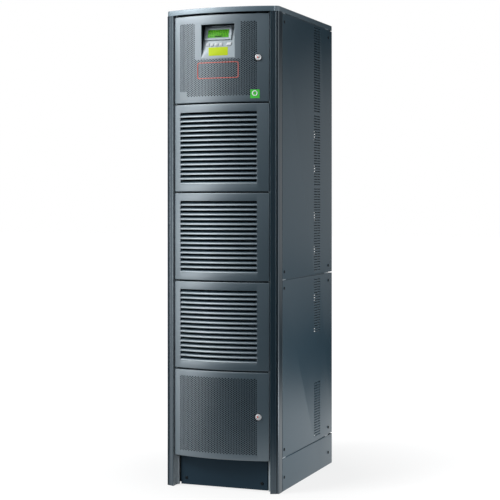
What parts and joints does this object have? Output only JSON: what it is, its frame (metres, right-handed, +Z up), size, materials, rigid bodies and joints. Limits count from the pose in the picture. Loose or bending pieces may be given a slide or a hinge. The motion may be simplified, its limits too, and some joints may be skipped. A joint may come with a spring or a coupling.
{
  "type": "modular ups cabinet",
  "caption": "Tall narrow modular UPS cabinet with a bowed front: a door with a sloping display, louvred covers over power modules, and a perforated lower door over a recessed plinth.",
  "frame": {"origin": "on the floor, under the middle of the cabinet's bounding box", "axes": "+X right seen from the front, +Y towards the back, +Z up"},
  "size_m": [0.414, 0.628, 1.65],
  "materials": {
    "cabinet_paint": "satin slate grey paint",
    "door_paint": "satin slate grey paint, fine texture",
    "post_trim": "satin slate grey trim",
    "plinth_paint": "dark slate paint",
    "louvre_plastic": "satin grey moulding",
    "inner_paint": "dark paint",
    "frame_steel": "grey painted steel",
    "hinge_steel": "zinc-plated steel",
    "lock_metal": "polished ring",
    "housing_plastic": "dark moulded plastic",
    "display_plastic": "light silver-grey plastic",
    "screen_glass": "green backlit display",
    "key_plastic": "white rubbery keys"
  },
  "bodies": {
    "cabinet": {"roof_cap": "cabinet_paint", "front_post_left": "post_trim", "front_post_right": "post_trim", "front_upright_left": "frame_steel", "front_upright_right": "frame_steel", "rear_upright_left": "frame_steel", "rear_upright_right": "frame_steel", "side_panel_upper_left": "cabinet_paint", "side_panel_upper_right": "cabinet_paint", "side_panel_lower_left": "cabinet_paint", "side_panel_lower_right": "cabinet_paint", "plinth_side_left": "cabinet_paint", "plinth_side_right": "cabinet_paint", "kick_plate": "plinth_paint", "base_frame": "inner_paint", "top_plate": "inner_paint", "control_shelf": "inner_paint", "module_shelf_top": "inner_paint", "module_shelf_middle": "inner_paint", "module_shelf_bottom": "inner_paint", "power_modules_top": "inner_paint", "power_modules_middle": "inner_paint", "power_modules_bottom": "inner_paint", "rear_cover_control": "cabinet_paint", "rear_fan_panel_top": "cabinet_paint", "rear_fan_panel_middle": "cabinet_paint", "rear_fan_panel_bottom": "cabinet_paint", "rear_cover_lower": "cabinet_paint", "plinth_rear": "cabinet_paint", "control_bay_plate": "inner_paint", "lower_bay_plate": "inner_paint", "louvre_cover_top": "louvre_plastic", "louvre_cover_middle": "louvre_plastic", "louvre_cover_bottom": "louvre_plastic", "louvre_blades_top": "louvre_plastic", "louvre_blades_middle": "louvre_plastic", "louvre_blades_bottom": "louvre_plastic", "control_door_hinges": "hinge_steel", "lower_door_hinges": "hinge_steel"},
    "control_door": {"control_door": "door_paint", "control_door_lock": "lock_metal", "display_housing": "housing_plastic", "display_panel": "display_plastic", "display_screen": "screen_glass", "display_keys": "key_plastic"},
    "lower_door": {"lower_door": "door_paint", "lower_door_lock": "lock_metal"}
  },
  "joints": [
    {"name": "control_door_hinge", "type": "hinge", "parent": "cabinet", "child": "control_door", "pos_m": [-0.165, -0.28002, 1.5], "axis": [0, 0, -1], "range_deg": [0, 105]},
    {"name": "lower_door_hinge", "type": "hinge", "parent": "cabinet", "child": "lower_door", "pos_m": [-0.165, -0.28002, 0.25], "axis": [0, 0, -1], "range_deg": [0, 105]}
  ]
}
